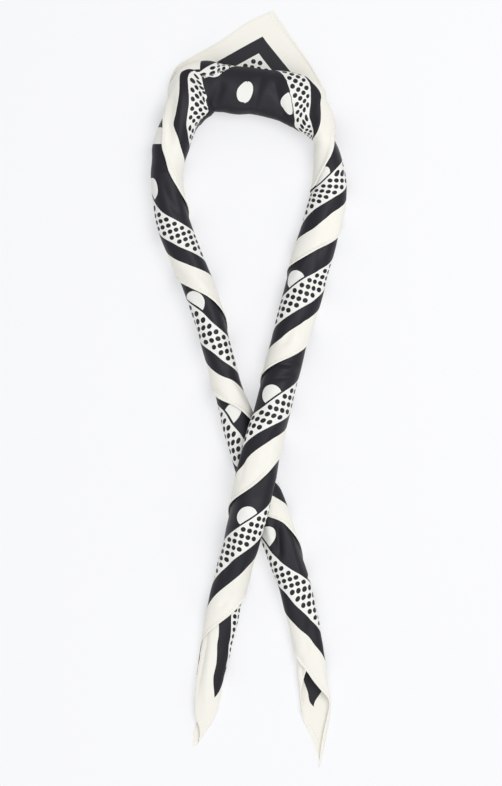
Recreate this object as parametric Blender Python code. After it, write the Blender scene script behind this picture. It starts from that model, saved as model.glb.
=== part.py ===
"""Triangle scarf, rolled from its long edge to its point and laid flat in a loop.

One triangle of thin cloth is rolled up along its long edge.  The roll lies in a neck loop,
its two ends cross below the loop and run out as tails, and the corner opposite the long edge
stays open as a flap behind the nape.  Each stretch of the roll that shows is one solid with
the roll's outer form, a flat underside and the ledge that the hem makes as it winds round.

Frame: metres, +Z up, the scarf lies on z = 0, the nape is at +Y and the tails at -Y.
"""
import math

import bpy
import bmesh
import numpy as np

MM = 0.001

# ---- the cut cloth, in millimetres ---------------------------------------------------
LONG_EDGE = 1110.0
HALF_EDGE = LONG_EDGE / 2.0

# ---- the roll ------------------------------------------------------------------------
FLAT_SHARE = 0.08                    # how much of the round section the surface cuts off
LEDGE = 1.1                          # rise of the outer layer over the one below its hem
LEDGE_RUN = 0.6                      # how far the foot of the ledge stands off the hem
RING_POINTS = 26                     # points round the roll from hem to hem
RING_STEP = 7.5                      # distance between sections
TANGENT_REACH = 0.5                  # distance round a section over which its direction is taken
TAIL_RING_STEP = 5.0                 # the same in the tails, where the hem turns faster
SEAM_GAP = 0.3                       # gap between two stretches
SEAM_SHARE = 0.65                    # share of it on each side, with some to spare at bends
FLAP_WALL = 1.2                      # cloth wall of the open corner
FLAP_CLEAR = 0.35                    # gap between the open corner and the roll on it
FLAP_TUCK = 6.5                      # how far outside the roll's axis the open corner starts
FLAP_REACH = (72.0, 104.0)           # cloth length over which the roll comes off the flap
CROSS_CLEAR = 0.9                    # air kept between the crossing strands
CROSS_LIFT = 14.0                    # rise of the upper strand at the crossing
CROSS_REACH = (34.0, 92.0)           # distances from the crossing where it is up, and down again
CROSS_SIDES = (0.62, 1.65)           # the same for the drape across the lower strand, in half widths
LEDGE_START = 16.0                   # cloth length over which the ledge grows beside the flap
LEDGE_FADE = (60.0, 0.6)             # cloth length before a tip where it thins, and by how much

# ---- the roll's sections, from the tip of the right tail to the tip of the left tail ---
# x, y        middle of the section as seen from above
# half_width  half the width seen from above
# height      thickness above the surface it lies on
# cloth       place along the long edge, from the middle of the cloth
COLUMNS = ("x", "y", "half_width", "height", "cloth")
STATIONS = (
    (50.7, -275.6, 1.3, 1.6, -554.0),
    (50.1, -264.1, 4.1, 2.4, -542.0),
    (49.5, -250.9, 7.3, 3.6, -528.0),
    (48.8, -234.9, 10.5, 5.4, -512.0),
    (46.9, -216.6, 10.8, 7.4, -493.0),
    (44.4, -194.0, 9.9, 9.6, -469.0),
    (39.2, -166.3, 10.6, 13.0, -438.5),
    (31.8, -137.8, 11.3, 16.0, -408.0),
    (22.2, -110.5, 12.4, 16.5, -380.5),
    (12.4, -80.8, 14.2, 14.5, -352.0),
    (1.5, -49.5, 14.2, 14.5, -322.5),
    (-8.8, -21.0, 11.3, 17.0, -295.5),
    (-16.6, 4.8, 9.9, 20.0, -269.5),
    (-23.9, 33.0, 10.2, 21.0, -241.0),
    (-32.0, 61.1, 10.9, 21.0, -213.0),
    (-42.4, 88.4, 11.1, 21.0, -184.5),
    (-53.0, 115.5, 11.7, 21.0, -156.0),
    (-59.0, 141.8, 11.5, 21.0, -129.5),
    (-58.9, 165.9, 11.6, 21.5, -106.0),
    (-53.9, 188.5, 14.5, 21.5, -82.5),
    (-45.6, 207.2, 16.8, 21.0, -60.0),
    (-31.8, 216.6, 18.4, 20.5, -41.0),
    (-14.6, 218.0, 17.9, 20.0, -19.0),
    (4.4, 217.5, 17.7, 20.0, 7.0),
    (22.6, 214.8, 18.4, 20.5, 34.0),
    (38.4, 208.6, 19.0, 21.0, 57.0),
    (49.5, 195.5, 15.5, 22.5, 80.0),
    (55.2, 177.6, 10.4, 24.0, 104.0),
    (58.1, 161.5, 11.3, 22.5, 120.0),
    (57.8, 144.0, 12.7, 20.5, 138.0),
    (53.5, 122.1, 13.6, 20.0, 160.5),
    (45.6, 93.8, 13.9, 20.5, 190.5),
    (37.9, 65.6, 13.8, 21.0, 220.0),
    (30.2, 37.4, 12.9, 21.5, 249.5),
    (23.1, 8.9, 12.7, 21.0, 279.0),
    (15.7, -19.2, 12.6, 18.5, 307.5),
    (8.6, -47.3, 13.8, 16.5, 335.0),
    (2.6, -76.0, 14.1, 16.5, 362.5),
    (-4.0, -104.4, 12.8, 17.0, 391.0),
    (-11.5, -132.7, 12.0, 17.0, 420.5),
    (-18.5, -160.9, 11.6, 15.5, 450.0),
    (-24.2, -189.6, 10.7, 13.0, 479.5),
    (-29.5, -215.2, 9.6, 9.5, 506.0),
    (-32.6, -235.6, 8.6, 6.0, 527.0),
    (-36.2, -248.7, 5.0, 3.2, 540.5),
    (-40.4, -261.2, 1.2, 1.6, 554.0),
)

# Where the hem comes over the crown of the roll: place along the cloth, turns made by then.
# The first row is where the hem leaves the surface at the roll's outer side.
HEM_LEFT = ((58.0, -0.34), (113.0, 0.0), (211.0, 1.0), (293.0, 2.0), (367.0, 3.0), (489.0, 4.0),
            (522.0, 4.65))
HEM_RIGHT = ((62.0, -0.34), (115.0, 0.0), (184.5, 1.0), (266.5, 2.0), (356.0, 3.0), (458.5, 4.0),
             (531.0, 4.70))

# Stretches of the roll: node, first and last place along the cloth, colour.
IVORY = (0.83, 0.80, 0.73)
CHARCOAL = (0.028, 0.027, 0.033)
STRETCHES = (
    ("right_tail", -554.0, -384.0, IVORY),
    ("cross_under", -384.0, -292.0, CHARCOAL),
    ("left_leg", -292.0, -112.0, IVORY),
    ("left_shoulder", -112.0, -46.0, CHARCOAL),
    ("neck_back", -46.0, 42.0, CHARCOAL),
    ("right_shoulder", 42.0, 112.0, CHARCOAL),
    ("right_leg", 112.0, 285.0, IVORY),
    ("cross_over", 285.0, 394.0, CHARCOAL),
    ("left_tail", 394.0, 554.0, IVORY),
)

UPPER_STRAND = ("right_leg", "cross_over", "left_tail")

# The open corner: its tip, and where its two hems meet the shoulders, seen from above.
FLAP_TIP = (17.7, 276.0)
FLAP_LEFT = (-51.6, 238.2)
FLAP_RIGHT = (52.2, 227.3)
FLAP_ROWS = 9                        # strips of the flap wall from the roll to its hems
FLAP_COLUMNS = 14                    # strips of the flap wall on each side of its tip

SATIN_ROUGHNESS = 0.42


def column(name):
    """One column of STATIONS as an array."""
    index = COLUMNS.index(name)
    return np.array([row[index] for row in STATIONS])


def smooth_through(knots, values, at):
    """Cubic Hermite curve through (knots, values), its slopes taken from the neighbours."""
    knots = np.asarray(knots, float)
    values = np.asarray(values, float)
    steps = np.diff(knots)
    secants = np.diff(values) / steps
    slopes = np.empty_like(values)
    slopes[0] = secants[0]
    slopes[-1] = secants[-1]
    slopes[1:-1] = (secants[:-1] * steps[1:] + secants[1:] * steps[:-1]) / (steps[:-1] + steps[1:])
    at = np.clip(at, knots[0], knots[-1])
    i = np.clip(np.searchsorted(knots, at) - 1, 0, len(steps) - 1)
    t = (at - knots[i]) / steps[i]
    return ((2 * t**3 - 3 * t**2 + 1) * values[i] + (t**3 - 2 * t**2 + t) * steps[i] * slopes[i]
            + (3 * t**2 - 2 * t**3) * values[i + 1] + (t**3 - t**2) * steps[i] * slopes[i + 1])


def smooth_step(value, low, high):
    """0 at or below low, 1 at or above high, with a soft change between."""
    t = np.clip((value - low) / (high - low), 0.0, 1.0)
    return t * t * (3.0 - 2.0 * t)


def centre(cloth):
    """Point of the roll's axis, seen from above, at a place along the cloth."""
    places = column("cloth")
    return np.stack([smooth_through(places, column("x"), cloth),
                     smooth_through(places, column("y"), cloth)], axis=-1)


def outward(cloth):
    """Unit vector from the roll's axis to the outer side of the loop, seen from above."""
    reach = 1.0
    ahead = centre(cloth + reach) - centre(cloth - reach)
    ahead /= np.linalg.norm(ahead, axis=-1, keepdims=True)
    return np.stack([-ahead[..., 1], ahead[..., 0]], axis=-1)


def half_width(cloth):
    return smooth_through(column("cloth"), column("half_width"), cloth)


def height(cloth):
    return smooth_through(column("cloth"), column("height"), cloth)


def hem_turns(cloth):
    """Turns that the hem has made round the roll, 0 where it first comes over the crown."""
    table = HEM_RIGHT if cloth > 0 else HEM_LEFT
    places, turns = zip(*table)
    return float(smooth_through(places, turns, abs(cloth)))


def ledge_rise(cloth):
    """Height of the hem's ledge: none behind the nape, where the hem is on the flap."""
    grows = smooth_step(abs(cloth), HEM_RIGHT[0][0], HEM_RIGHT[0][0] + LEDGE_START)
    fades = 1.0 - LEDGE_FADE[1] * smooth_step(abs(cloth), HALF_EDGE - LEDGE_FADE[0], HALF_EDGE)
    return LEDGE * grows * fades


def flap_lift(cloth):
    """Height of the roll's underside over the surface where it lies on the flap."""
    return (FLAP_WALL + FLAP_CLEAR) * (1.0 - smooth_step(abs(cloth), *FLAP_REACH))


def stretch_ends(name):
    """First and last place along the cloth of one stretch."""
    return next((first, last) for node, first, last, _ in STRETCHES if node == name)


def crossing_point():
    """Middle of the crossing, seen from above: where the two strands' axes come closest."""
    under = centre(np.linspace(*stretch_ends("cross_under"), 93))
    over = centre(np.linspace(*stretch_ends("cross_over"), 110))
    gaps = np.linalg.norm(under[:, None] - over[None], axis=-1)
    i, j = np.unravel_index(np.argmin(gaps), gaps.shape)
    return (under[i] + over[j]) / 2.0


CROSSING = crossing_point()
UNDER_PLACES = np.linspace(-430.0, -240.0, 191)     # the lower strand near the crossing
UNDER_AXIS = centre(UNDER_PLACES)


def under_strand_top(x, y):
    """Height that the upper strand's underside keeps to clear the lower strand at x, y."""
    gaps = np.hypot(UNDER_AXIS[:, 0] - x, UNDER_AXIS[:, 1] - y)
    nearest = int(np.argmin(gaps))
    place = UNDER_PLACES[nearest]
    aside = gaps[nearest] / (half_width(place) + LEDGE)
    return (height(place) + LEDGE + CROSS_CLEAR) * (1.0 - smooth_step(aside, *CROSS_SIDES))


def section_outline(cloth, samples=180):
    """The roll's section from crown round the inner side and back: outward distance, height."""
    angle = np.linspace(0.0, 2.0 * math.pi, samples + 1)
    aside = -half_width(cloth) * np.sin(angle)
    rise = height(cloth) * np.maximum(0.0, (1 + FLAT_SHARE) * (1 + np.cos(angle)) / 2 - FLAT_SHARE)
    return aside, rise


def ring(cloth, lifted):
    """Closed section of the roll from the hem round to the foot of its ledge, as 3-D points."""
    aside, rise = section_outline(cloth)
    length = np.concatenate([[0.0], np.cumsum(np.hypot(np.diff(aside), np.diff(rise)))])
    girth = length[-1]
    share = np.linspace(0.0, 1.0 - LEDGE_RUN / girth, RING_POINTS)
    place = (hem_turns(cloth) + share) * girth
    n = np.interp(place % girth, length, aside)
    z = np.interp(place % girth, length, rise)
    ahead_n = np.interp((place + TANGENT_REACH) % girth, length, aside)
    ahead_z = np.interp((place + TANGENT_REACH) % girth, length, rise)
    tangent_n = ahead_n - n
    tangent_z = ahead_z - z
    size = np.maximum(np.hypot(tangent_n, tangent_z), 1e-6)
    out = ledge_rise(cloth) * (1.0 - share)
    n = n + out * tangent_z / size
    z = np.maximum(0.0, z - out * tangent_n / size) * np.where(z > 0.0, 1.0, 0.0)

    middle = centre(cloth)
    side = outward(cloth)
    points = []
    for one_n, one_z in zip(n, z):
        x = middle[0] + side[0] * one_n
        y = middle[1] + side[1] * one_n
        share_up = min(1.0, one_z / height(cloth))
        floor = flap_lift(cloth)
        top = floor
        if lifted:
            away = np.hypot(*(middle - CROSSING))
            top = CROSS_LIFT * (1.0 - smooth_step(away, *CROSS_REACH))
            floor = under_strand_top(x, y)
        points.append((x, y, one_z + (1.0 - share_up) * floor + share_up * top))
    return np.array(points)


def seam_pull(cloth):
    """Length of cloth that one side of a seam stands back, so that the axis keeps its gap."""
    span = 2.0
    axis = float(np.linalg.norm(centre(cloth + span / 2) - centre(cloth - span / 2)))
    return SEAM_SHARE * SEAM_GAP * span / max(axis, 0.1)


def stretch_places(first, last, step):
    """Places of the sections of one stretch, short of its neighbours by half the seam gap."""
    low = first + seam_pull(first)
    high = last - seam_pull(last)
    count = max(2, int(round((high - low) / step)) + 1)
    return np.linspace(low, high, count)


def satin(name, colour):
    """Principled satin in one colour."""
    material = bpy.data.materials.new(name)
    material.use_nodes = True
    shader = material.node_tree.nodes["Principled BSDF"]
    shader.inputs["Base Color"].default_value = (*colour, 1.0)
    shader.inputs["Roughness"].default_value = SATIN_ROUGHNESS
    shader.inputs["Metallic"].default_value = 0.0
    return material


def add_object(name, bm, colour):
    """Turn a bmesh in millimetres into a named, smooth-shaded object in metres."""
    bmesh.ops.scale(bm, vec=(MM, MM, MM), verts=bm.verts)
    bmesh.ops.recalc_face_normals(bm, faces=bm.faces)
    mesh = bpy.data.meshes.new(name)
    bm.to_mesh(mesh)
    bm.free()
    mesh.materials.append(satin(name + "_satin", colour))
    mesh.shade_smooth()
    part = bpy.data.objects.new(name, mesh)
    bpy.context.collection.objects.link(part)
    return part


def add_cap(bm, points):
    """Close one end of a stretch with a fan round the middle of its section."""
    low = min(p.co.z for p in points)
    high = max(p.co.z for p in points)
    x = sum(p.co.x for p in points) / len(points)
    y = sum(p.co.y for p in points) / len(points)
    hub = bm.verts.new((x, y, (low + high) / 2.0))
    for a, b in zip(points, points[1:] + points[:1]):
        bm.faces.new((a, b, hub))


def add_quad(bm, a, b, c, d):
    """Two triangles over four corners, split along the shorter diagonal."""
    if (a.co - c.co).length <= (b.co - d.co).length:
        bm.faces.new((a, b, c))
        bm.faces.new((a, c, d))
    else:
        bm.faces.new((a, b, d))
        bm.faces.new((b, c, d))


def add_stretch(name, first, last, colour):
    """One stretch of the roll as a closed solid."""
    lifted = name in UPPER_STRAND
    step = TAIL_RING_STEP if name.endswith("_tail") else RING_STEP
    bm = bmesh.new()
    rings = []
    for place in stretch_places(first, last, step):
        rings.append([bm.verts.new(p) for p in ring(place, lifted)])
    for near, far in zip(rings, rings[1:]):
        for i in range(RING_POINTS):
            k = (i + 1) % RING_POINTS
            add_quad(bm, near[i], near[k], far[k], far[i])
    add_cap(bm, rings[0])
    add_cap(bm, rings[-1])
    return add_object(name, bm, colour)


def flap_row(share):
    """Points across the flap, share 0 along the roll's underside and 1 along its hems."""
    points = []
    for k in range(-FLAP_COLUMNS, FLAP_COLUMNS + 1):
        along = k / FLAP_COLUMNS
        corner = np.array(FLAP_RIGHT if k > 0 else FLAP_LEFT)
        hem = np.array(FLAP_TIP) + abs(along) * (corner - np.array(FLAP_TIP))
        place = along * (HEM_RIGHT[0][0] if k > 0 else HEM_LEFT[0][0])
        root = centre(place) + FLAP_TUCK * outward(place)
        points.append(root + share * (hem - root))
    return points


def add_flap():
    """The open corner of the cloth: a thin wall flat on the surface, under the roll."""
    bm = bmesh.new()
    rows = [flap_row(i / FLAP_ROWS) for i in range(FLAP_ROWS + 1)]
    layers = []
    for z in (0.0, FLAP_WALL):
        layers.append([[bm.verts.new((p[0], p[1], z)) for p in row] for row in rows])
    low, high = layers
    across = 2 * FLAP_COLUMNS
    for j in range(FLAP_ROWS):
        for i in range(across):
            bm.faces.new((low[j][i], low[j + 1][i], low[j + 1][i + 1], low[j][i + 1]))
            bm.faces.new((high[j][i], high[j][i + 1], high[j + 1][i + 1], high[j + 1][i]))
    for i in range(across):
        bm.faces.new((low[0][i], low[0][i + 1], high[0][i + 1], high[0][i]))
        bm.faces.new((low[-1][i], high[-1][i], high[-1][i + 1], low[-1][i + 1]))
    for j in range(FLAP_ROWS):
        bm.faces.new((low[j][0], high[j][0], high[j + 1][0], low[j + 1][0]))
        bm.faces.new((low[j][-1], low[j + 1][-1], high[j + 1][-1], high[j][-1]))
    return add_object("apex_flap", bm, IVORY)


def clear_scene():
    for old in list(bpy.data.objects):
        bpy.data.objects.remove(old, do_unlink=True)


def main():
    clear_scene()
    for name, first, last, colour in STRETCHES:
        add_stretch(name, first, last, colour)
    add_flap()


main()
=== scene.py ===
"""Triangle scarf in thin satin, rolled to its point and laid flat in a loop, seen from above.

Every stretch is a thin sheet on the spiral that the rolled cloth makes.  A row of points runs
from the hem over the roll and under it, at one place along the cloth's long edge, and the next
row stands beside it.  Each point knows its place in the flat cut, and the print follows that.
Lengths are in millimetres until the meshes are made.
"""
import math

import bpy
import numpy as np
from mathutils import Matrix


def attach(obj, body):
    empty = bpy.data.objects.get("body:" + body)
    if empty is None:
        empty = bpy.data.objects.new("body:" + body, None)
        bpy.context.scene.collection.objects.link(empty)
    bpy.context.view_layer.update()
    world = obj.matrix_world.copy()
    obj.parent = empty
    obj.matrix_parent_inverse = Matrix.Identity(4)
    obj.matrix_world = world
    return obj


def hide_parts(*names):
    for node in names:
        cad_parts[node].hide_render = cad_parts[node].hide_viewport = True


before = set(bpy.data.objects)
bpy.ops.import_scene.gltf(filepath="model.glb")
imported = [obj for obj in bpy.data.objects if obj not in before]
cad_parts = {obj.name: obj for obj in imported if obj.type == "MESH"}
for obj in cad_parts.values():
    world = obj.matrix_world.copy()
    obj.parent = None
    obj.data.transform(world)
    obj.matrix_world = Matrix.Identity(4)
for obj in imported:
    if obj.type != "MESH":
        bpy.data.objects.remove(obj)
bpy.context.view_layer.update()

MM = 0.001

# ---- the flat cut and its print --------------------------------------------------------
HALF_EDGE = 555.0                    # half the long edge
EDGE_RISE = 0.9                      # height of the cut per millimetre along half its long edge
EDGE_COS = 1.0 / math.hypot(1.0, EDGE_RISE)
BAND_CREAM = 15.3                    # the border bands end at these distances from an edge
BAND_BLACK = 24.6
BAND_DOTTED = 41.1
BAND_LINE = 42.3
SMALL_STEP_U = 5.0                   # small dots: steps along the long edge and across it
SMALL_STEP_V = 4.5
SMALL_SHIFT_V = 2.9
SMALL_RADIUS = 1.75
SMALL_FIRST = 26.3                   # a small dot is printed if its middle lies between these
SMALL_LAST = 39.7                    # distances from the edge
BIG_STEP_U = 42.0
BIG_STEP_V = 37.8
BIG_SHIFT_V = 24.35
BIG_RADIUS = 7.3

# ---- the roll ---------------------------------------------------------------------------
FLAT_SHARE = 0.08                    # share of the round section that the surface cuts off
LEDGE = 1.1                          # rise of the outer layer over the one below its hem
LEDGE_FROM = (66.0, 82.0)            # places over which it sets in: behind the nape there is none
TUCK = 9.0                           # cloth that runs on under the hem after a full turn
ASPECT = 0.72                        # height to width of the arc that the crown is measured on
WALL_FOOT = 4.0                      # how far below its widest point the roll meets the flap
ROW_STEP = 1.25                      # distance between rows of points
ROLL_POINTS = 84                     # points in a row round the roll
HEM_POINTS = (0.0, 0.35, 0.75, 1.2, 1.7, 2.3, 3.0)   # the first of them, in cloth from the hem
SQUEEZE_BELOW = 9.0                  # in rows with less cloth than this they lie closer
FLAP_POINTS = 46                     # points in a row across the open corner
TAIL_FROM = (440.0, 500.0)           # places over which the roll thins out to a tail, and how
LEDGE_LOSS = 0.8                     # much of the ledge and of the rolled hem is lost there
FOLD_LOSS = 0.5
TAIL_END = 14.0                      # last cloth before a tip, where its layers come together
SOFT_HEM = 4.0                       # creases fade out this near to the hem
SOFT_TIP = 60.0                      # and this near to a tip,
LEAST = 0.1                          # but neither they nor the layers go below this share
CROSS_CLEAR = 0.9                    # room between the strands where they cross
CROSS_LIFT = 14.0                    # how much higher the upper strand's top lies there
CROSS_REACH = (34.0, 92.0)           # distances from the crossing over which this fades
CROSS_SIDES = (0.62, 1.65)           # and, for its underside, in half widths of the lower strand
UNDER_REACH = (-430.0, -240.0)       # places between which the lower strand is passed over
FLAP_LIFT = 1.55                     # height of the roll's underside where it lies on the flap
FLAP_REACH = (72.0, 104.0)           # places over which this fades
PLEATS = ((-41.0, -40.4), (4.4, 5.0))   # places on either side of a pleat behind the nape
PLEAT_CLEAR = 0.5                    # no row of points lies nearer to one than this
FOLD_HEIGHT = 0.55                   # the rolled hem: its height, middle and width
FOLD_MIDDLE = 1.1
FOLD_WIDTH = 0.85
CREASE_SHARE = 1.25                  # creases and ridges are this much of the depth in the table,
CREASE_AGAINST = -0.6                # and those against them on the far side this much of theirs
UNEVEN = 0.2                         # height of the soft folds between them

# The roll's stations, from the tip of the right tail to the tip of the left one:
# x, y        middle of the roll seen from above
# half_width  half its width seen from above
# height      thickness above the surface
# lean        degrees by which a row of points leans forward, on its outer side, from square to
#             the roll: behind the nape the cloth is pulled askew
# place       place along the long edge, from the middle of the cloth
COLUMNS = ("x", "y", "half_width", "height", "lean", "place")
STATIONS = (
    (50.7, -275.6, 1.3, 1.6, 0, -554.0),
    (50.1, -264.1, 4.1, 2.4, 0, -543.0),
    (49.5, -250.9, 7.3, 3.6, 0, -530.5),
    (48.8, -234.9, 10.5, 5.4, 0, -516.3),
    (46.9, -216.6, 10.8, 7.4, 0, -496.0),
    (44.4, -194.0, 9.9, 9.6, 0, -470.5),
    (39.2, -166.3, 10.6, 13.0, 0, -438.5),
    (31.8, -137.8, 11.3, 16.0, 0, -408.0),
    (22.2, -110.5, 12.4, 16.5, 0, -380.5),
    (11.9, -80.8, 13.0, 14.5, 0, -352.0),
    (0.7, -49.5, 12.6, 14.5, 0, -322.5),
    (-8.8, -21.0, 11.3, 17.0, 0, -295.5),
    (-16.6, 4.8, 9.9, 20.0, 0, -269.5),
    (-23.9, 33.0, 10.2, 21.0, 0, -241.0),
    (-32.0, 61.1, 10.9, 21.0, 0, -213.0),
    (-42.4, 88.4, 11.1, 21.0, 0, -184.5),
    (-53.0, 115.5, 11.7, 21.0, 0, -156.0),
    (-59.0, 141.8, 11.5, 21.0, 0, -129.5),
    (-59.3, 165.9, 11.5, 21.5, 0, -106.0),
    (-56.7, 177.0, 13.1, 21.5, -7, -94.0),
    (-54.5, 184.7, 13.1, 21.5, -1, -88.0),
    (-52.1, 191.3, 13.1, 21.5, -0, -83.0),
    (-48.9, 197.3, 13.4, 21.5, 9, -78.0),
    (-46.6, 202.8, 14.9, 21.5, 19, -73.0),
    (-44.5, 207.5, 16.8, 21.5, 20, -68.0),
    (-42.2, 211.7, 18.7, 21.0, 19, -63.0),
    (-39.7, 215.2, 20.4, 20.5, 14, -57.0),
    (-36.9, 217.8, 21.0, 20.5, 7, -51.0),
    (-33.8, 219.5, 20.2, 20.5, 0, -46.0),
    (-30.6, 220.5, 19.1, 20.0, -7, -41.0),
    (-20.8, 219.4, 18.1, 20.0, -12, -28.0),
    (-9.3, 217.6, 17.5, 20.0, -3, -14.0),
    (4.1, 216.5, 17.1, 20.0, 7, 4.7),
    (17.9, 214.9, 17.8, 20.0, 13, 24.0),
    (25.0, 213.4, 18.6, 20.5, 12, 34.0),
    (31.9, 211.2, 19.0, 20.5, 7, 43.0),
    (37.2, 208.8, 19.2, 21.0, 2, 48.0),
    (41.9, 205.3, 18.4, 21.5, -7, 53.0),
    (45.5, 200.6, 16.2, 22.0, -16, 59.0),
    (48.7, 196.1, 14.1, 22.0, -14, 65.0),
    (51.1, 192.0, 11.8, 22.5, -12, 72.0),
    (53.1, 188.0, 9.7, 23.0, -9, 79.0),
    (54.7, 183.7, 8.0, 23.5, -2, 87.0),
    (55.9, 179.1, 7.8, 24.0, 6, 96.0),
    (56.9, 174.7, 8.6, 24.0, 10, 104.0),
    (57.7, 169.2, 9.5, 23.5, 6, 112.0),
    (58.1, 163.7, 10.4, 22.5, 0, 120.0),
    (58.4, 145.5, 12.4, 20.5, 0, 138.0),
    (53.5, 122.1, 13.6, 20.0, 0, 160.5),
    (45.6, 93.8, 13.9, 20.5, 0, 190.5),
    (37.9, 65.6, 13.8, 21.0, 0, 220.0),
    (30.2, 37.4, 12.9, 21.5, 0, 249.5),
    (23.1, 8.9, 12.7, 21.0, 0, 279.0),
    (15.7, -19.2, 12.6, 18.5, 0, 307.5),
    (8.6, -47.3, 13.8, 16.5, 0, 335.0),
    (2.6, -76.0, 14.1, 16.5, 0, 362.5),
    (-4.0, -104.4, 12.8, 17.0, 0, 391.0),
    (-11.5, -132.7, 12.0, 17.0, 0, 420.5),
    (-18.5, -160.9, 11.6, 15.5, 0, 450.0),
    (-24.2, -189.6, 10.7, 13.0, 0, 479.5),
    (-29.5, -215.2, 9.6, 9.5, 0, 506.0),
    (-32.6, -235.6, 8.6, 5.0, 0, 527.0),
    (-36.2, -248.7, 5.0, 2.4, 0, 540.5),
    (-40.4, -261.2, 0.8, 1.2, 0, 554.0),
)

# Where the hem lies: place along the long edge, turns made, cloth past the crown.
HEM_RIGHT = (
    (115.0, 0, -0.4), (121.4, 0, 2.2), (129.4, 0, 6.6), (138.4, 0, 12.4), (144.0, 0, 23.5),
    (151.3, 1, -28.3), (159.9, 1, -21.0), (168.4, 1, -14.9), (172.9, 1, -10.5), (180.4, 1, -2.9),
    (189.8, 1, 5.3), (196.9, 1, 12.6), (203.0, 1, 19.8), (210.5, 1, 27.3), (218.8, 1, 35.3),
    (227.3, 2, -34.0), (236.7, 2, -26.0), (246.8, 2, -17.2), (252.4, 2, -13.5), (257.1, 2, -9.3),
    (263.1, 2, -3.1), (270.6, 2, 5.3), (279.0, 2, 13.6), (287.4, 2, 22.0), (297.6, 2, 30.8),
    (304.0, 2, 36.0), (314.5, 3, -35.0), (328.3, 3, -20.7), (335.2, 3, -14.6), (347.6, 3, -6.3),
    (356.5, 3, 0.5), (372.0, 3, 15.1),
    (408.8, 4, -33.1), (428.2, 4, -20.7), (440.5, 4, -12.3), (450.3, 4, -6.2), (460.1, 4, 1.2),
    (468.2, 4, 7.6), (474.3, 4, 12.0), (481.1, 4, 14.5), (489.5, 4, 14.7), (502.0, 4, 15.2),
    (510.0, 4, 15.5), (518.6, 4, 16.0), (530.0, 4, 15.0), (541.0, 4, 8.0), (554.0, 4, 2.0),
)
HEM_LEFT = (
    (113.5, 0, 1.3), (120.0, 0, 4.0), (126.6, 0, 7.3), (132.5, 0, 10.2), (143.3, 0, 17.0),
    (149.5, 0, 23.0), (159.6, 0, 32.0), (170.5, 1, -32.5), (180.6, 1, -23.0), (188.8, 1, -14.3),
    (195.6, 1, -7.0), (201.3, 1, -2.0), (208.6, 1, 3.8), (216.5, 1, 8.8), (222.6, 1, 12.2),
    (234.0, 1, 20.0), (242.1, 1, 28.0), (253.4, 1, 37.5), (263.3, 2, -23.0), (271.0, 2, -14.5),
    (278.2, 2, -8.6), (281.2, 2, -5.3), (285.9, 2, -0.2),
    (291.8, 2, 4.3), (297.7, 2, 7.8), (305.0, 2, 12.3), (313.3, 2, 15.9), (318.5, 2, 19.9),
    (322.7, 2, 23.1), (342.0, 3, -22.5), (351.9, 3, -13.6), (361.2, 3, -3.5), (367.5, 3, 4.5),
    (376.6, 3, 10.3), (385.4, 3, 14.8), (398.0, 3, 23.0), (407.4, 3, 31.0),
    (414.5, 4, -42.4), (427.5, 4, -36.0), (438.7, 4, -29.2), (447.6, 4, -24.0), (455.0, 4, -19.0),
    (462.0, 4, -16.3), (469.0, 4, -12.3), (476.0, 4, -8.3),
    (482.7, 4, -3.9), (491.8, 4, 0.6), (500.0, 4, 5.4), (510.0, 4, 11.5), (520.0, 4, 8.5),
    (530.0, 4, 5.0), (543.0, 4, 2.0), (554.0, 4, 0.5),
)
# Cloth in one turn of the roll, hidden tucks included: place, length.
GIRTH_RIGHT = (
    (0.0, 100.0), (60.0, 98.0), (100.0, 72.0), (121.0, 66.0), (129.0, 61.7), (138.5, 56.5),
    (148.0, 63.0), (160.0, 70.0), (190.0, 74.5), (210.0, 76.0), (227.0, 78.5), (250.0, 82.0),
    (286.5, 83.2), (376.5, 80.3), (440.0, 71.5), (450.0, 69.6), (474.0, 69.6), (482.0, 66.5),
    (488.0, 62.0), (502.0, 50.4), (510.0, 45.5), (518.6, 39.7), (540.0, 22.0), (554.0, 6.0),
)
GIRTH_LEFT = (
    (0.0, 100.0), (60.0, 86.0), (86.0, 64.0), (104.0, 67.0), (118.0, 81.0), (131.0, 78.0),
    (143.8, 76.5), (200.0, 70.5), (220.0, 68.3), (272.0, 68.0), (286.0, 64.8), (300.0, 68.5),
    (323.0, 70.5), (352.0, 78.0), (375.0, 77.5), (390.0, 79.0), (402.6, 80.0), (414.5, 79.5),
    (440.0, 77.0), (460.0, 69.5), (475.0, 65.0), (491.0, 66.0), (512.0, 62.0), (530.0, 43.0),
    (543.0, 24.0), (554.0, 7.0),
)

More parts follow.
